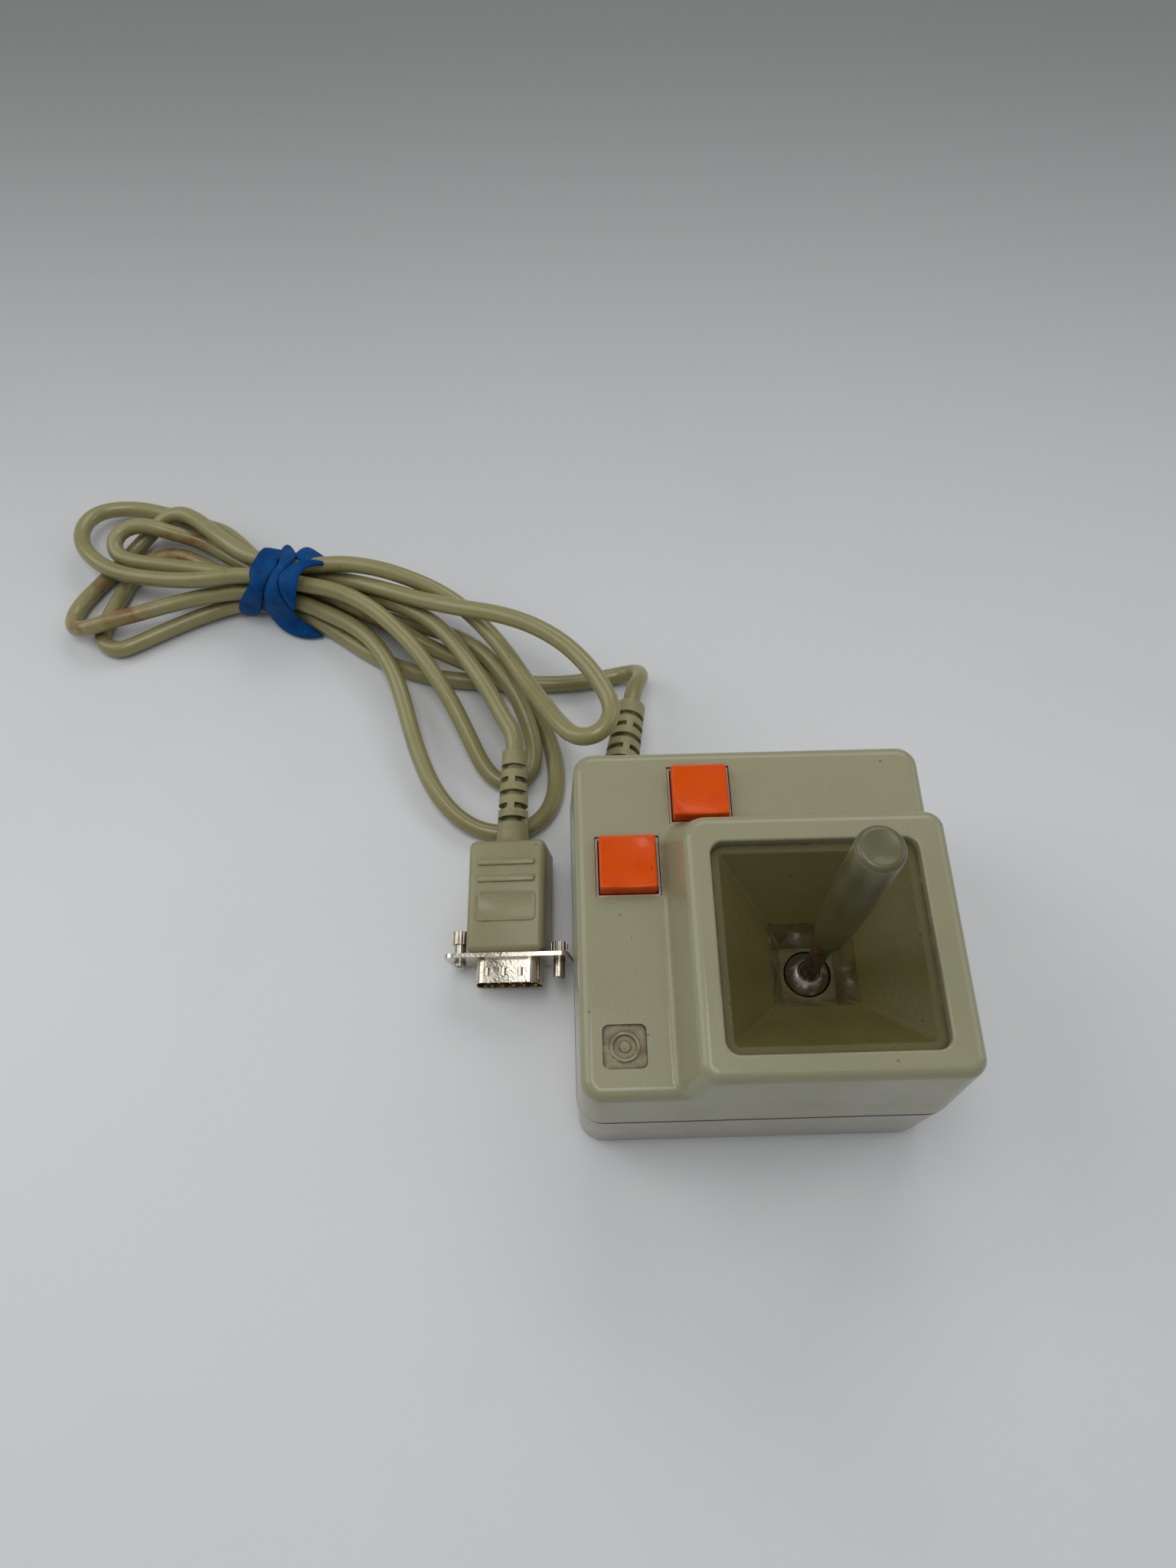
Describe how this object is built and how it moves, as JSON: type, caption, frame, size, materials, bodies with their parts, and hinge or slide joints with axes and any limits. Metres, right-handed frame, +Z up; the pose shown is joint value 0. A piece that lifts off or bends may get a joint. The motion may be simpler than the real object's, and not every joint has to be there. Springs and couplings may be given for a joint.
{
  "type": "analogue joystick",
  "caption": "Desktop analogue joystick: boxy case with a slim self-centring stick in a square well, square push buttons, and a tied cord with a nine-pin plug.",
  "frame": {"origin": "middle of the case's footprint, on the surface its feet stand on", "axes": "+X to the user's right, +Y to the back where the cord leaves, +Z up"},
  "size_m": [0.2312, 0.1959, 0.105],
  "materials": {
    "case_upper": "fine satin beige, yellowed",
    "case_lower": "fine satin pinkish grey",
    "well": "glossy dark olive",
    "steel_ball": "satin silver",
    "rod_steel": "brown, lightly rusted",
    "grip": "smooth olive grey",
    "button": "glossy orange",
    "switch": "pinkish grey",
    "badge": "beige with a darker ring",
    "cord": "soft olive beige, stained",
    "relief": "soft olive beige",
    "band": "blue, creased",
    "hood": "moulded olive beige",
    "nickel": "nickel, slightly dull",
    "insulator": "black",
    "contact": "gold plated",
    "screw_steel": "zinc plated",
    "foot": "black",
    "inner_plastic": "black nylon",
    "spring_steel": "bare spring steel",
    "board": "green varnish",
    "wire": "grey insulation"
  },
  "bodies": {
    "base": {"upper_case": "case_upper", "lower_case": "case_lower", "case_screws": "screw_steel", "rubber_feet": "foot", "frame_screws": "screw_steel", "emblem_badge": "badge", "stick_well": "well", "gimbal_frame": "inner_plastic", "position_sensor_x": "nickel", "position_sensor_y": "nickel", "centring_spring_x": "spring_steel", "centring_spring_y": "spring_steel", "switch_left_sleeve": "switch", "switch_back_sleeve": "switch", "switch_left_contacts": "contact", "switch_back_contacts": "contact", "switch_left_spring": "spring_steel", "switch_back_spring": "spring_steel", "circuit_board": "board", "board_screws": "screw_steel", "board_header": "insulator", "board_capacitor": "well", "wires_to_board": "wire", "wires_to_sensors": "wire", "cord_gland": "relief", "cord": "cord", "cord_band": "band", "plug_flange": "nickel", "plug_shell": "nickel", "plug_insulator": "insulator", "plug_pins": "contact", "plug_hood": "hood", "plug_boot": "relief"},
    "cross_bail": {"cross_bail": "inner_plastic", "sensor_rotor_x": "contact"},
    "carrier_bail": {"carrier_bail": "inner_plastic", "sensor_rotor_y": "contact"},
    "stick": {"stick_shaft": "rod_steel", "stick_collar": "rod_steel", "ball_cap": "steel_ball", "stick_grip": "grip"},
    "button_left": {"button_left_cap": "button"},
    "button_back": {"button_back_cap": "button"},
    "jackscrew_left": {"jackscrew_left": "screw_steel"},
    "jackscrew_right": {"jackscrew_right": "screw_steel"}
  },
  "joints": [
    {"name": "stick_side_to_side", "type": "hinge", "parent": "base", "child": "carrier_bail", "pos_m": [0.01075, -0.0113, 0.0312], "axis": [0, 1, 0], "range_deg": [-22, 22], "stiffness_Nm_per_rad": 0.15},
    {"name": "stick_fore_and_aft", "type": "hinge", "parent": "carrier_bail", "child": "stick", "pos_m": [0.01075, -0.0113, 0.0312], "axis": [1, 0, 0], "range_deg": [-22, 22], "stiffness_Nm_per_rad": 0.15},
    {"name": "cross_bail_swing", "type": "hinge", "parent": "base", "child": "cross_bail", "pos_m": [0.01075, -0.0113, 0.0312], "axis": [1, 0, 0], "range_deg": [-22, 22]},
    {"name": "button_left_press", "type": "slide", "parent": "base", "child": "button_left", "axis": [0, 0, 1], "range_m": [-0.002, 0], "stiffness_N_per_m": 600, "springref_m": 0.0005, "deforming": ["switch_left_spring"]},
    {"name": "button_back_press", "type": "slide", "parent": "base", "child": "button_back", "axis": [0, 0, 1], "range_m": [-0.002, 0], "stiffness_N_per_m": 600, "springref_m": 0.0005, "deforming": ["switch_back_spring"]},
    {"name": "jackscrew_left_turn", "type": "hinge", "parent": "base", "child": "jackscrew_left", "pos_m": [-0.06939, 0.00242, 0.00669], "axis": [0.0277, 0.9932, 0.1132], "continuous": true},
    {"name": "jackscrew_right_turn", "type": "hinge", "parent": "base", "child": "jackscrew_right", "pos_m": [-0.04461, 0.00138, 0.00971], "axis": [0.0277, 0.9932, 0.1132], "continuous": true}
  ],
  "couplings": [
    {"joint": "cross_bail_swing", "follows": "stick_fore_and_aft", "ratio": 1}
  ]
}
